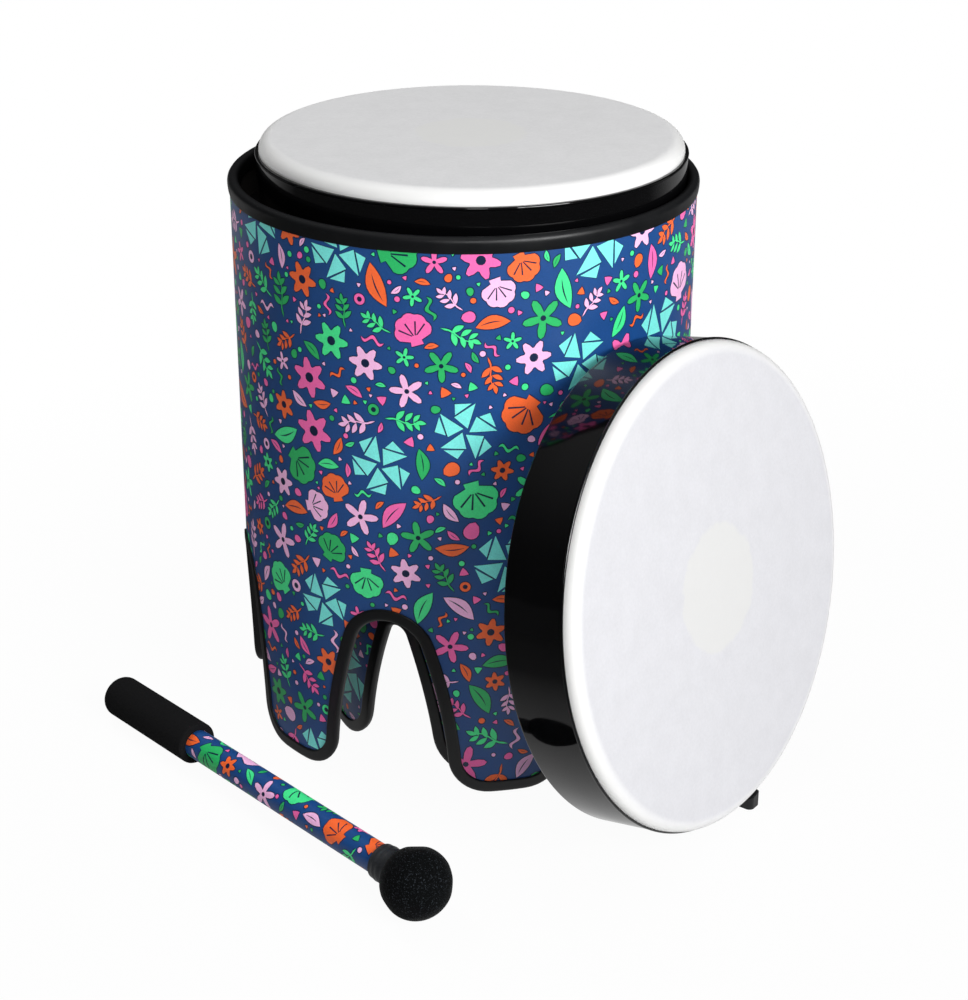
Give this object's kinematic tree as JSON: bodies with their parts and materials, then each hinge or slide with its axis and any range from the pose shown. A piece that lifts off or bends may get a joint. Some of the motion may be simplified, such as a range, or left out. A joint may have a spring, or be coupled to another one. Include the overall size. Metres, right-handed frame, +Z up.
{
  "type": "ocean drum with floor drum stand",
  "caption": "Floor drum with arched legs and a lift-out head, a bead-filled ocean drum leaning on it, a padded mallet on the floor and a smaller shell nested inside.",
  "frame": {"origin": "on the floor, in the middle of the set's own box", "axes": "+Z up; the arch nearest the mallet faces -Y; the ocean drum leans on the +X side"},
  "size_m": [0.5204, 0.4966, 0.4409],
  "materials": {
    "shell_fibre": "dark fibre board",
    "print": "printed vinyl, soft sheen",
    "trim_rubber": "satin black",
    "ledge_wood": "painted black",
    "pad_foam": "matte black foam",
    "frame_black": "gloss black lacquer",
    "hoop_black": "gloss black",
    "skin_white": "matte white film",
    "dot_cream": "matte cream film",
    "bead_steel": "bright steel",
    "shaft_wood": "plain dowel",
    "grip_foam": "matte black foam",
    "ferrule_rubber": "satin black",
    "ball_rubber": "solid rubber",
    "ball_cloth": "short black pile"
  },
  "bodies": {
    "drum": {"shell": "shell_fibre", "outer_wrap": "print", "top_trim": "trim_rubber", "leg_trim": "trim_rubber", "seat_ring": "ledge_wood", "seat_pad": "pad_foam"},
    "head": {"head_frame": "frame_black", "head_hoop": "hoop_black", "head_skin": "skin_white", "head_tone_dot": "dot_cream"},
    "ocean_drum": {"ocean_frame": "frame_black", "ocean_front_hoop": "hoop_black", "ocean_front_skin": "skin_white", "ocean_tone_dot": "dot_cream", "ocean_back_skin": "skin_white", "ocean_back_hoop": "hoop_black", "rubber_chock": "trim_rubber"},
    "beads": {"ocean_beads": "bead_steel"},
    "mallet": {"mallet_shaft": "shaft_wood", "mallet_wrap": "print", "mallet_grip": "grip_foam", "mallet_ferrule": "ferrule_rubber", "mallet_ball_core": "ball_rubber", "mallet_ball_cover": "ball_cloth"},
    "nested": {"nested_shell": "shell_fibre", "nested_wrap": "print", "nested_top_trim": "trim_rubber", "nested_leg_trim": "trim_rubber"}
  },
  "joints": [
    {"name": "head_lift", "type": "slide", "parent": "drum", "child": "head", "axis": [0, 0, 1], "range_m": [0, 0.12]},
    {"name": "ocean_slide", "type": "slide", "parent": "drum", "child": "ocean_drum", "axis": [0.9494, -0.314, 0], "range_m": [0, 0.15]},
    {"name": "beads_roll", "type": "hinge", "parent": "ocean_drum", "child": "beads", "pos_m": [0.1514, -0.02069, 0.16546], "axis": [0.9341, -0.3089, 0.1788], "continuous": true},
    {"name": "mallet_lift", "type": "slide", "parent": "drum", "child": "mallet", "axis": [0, 0, 1], "range_m": [0, 0.15]},
    {"name": "nested_drop", "type": "slide", "parent": "drum", "child": "nested", "axis": [0, 0, -1], "range_m": [0, 0.36]}
  ]
}
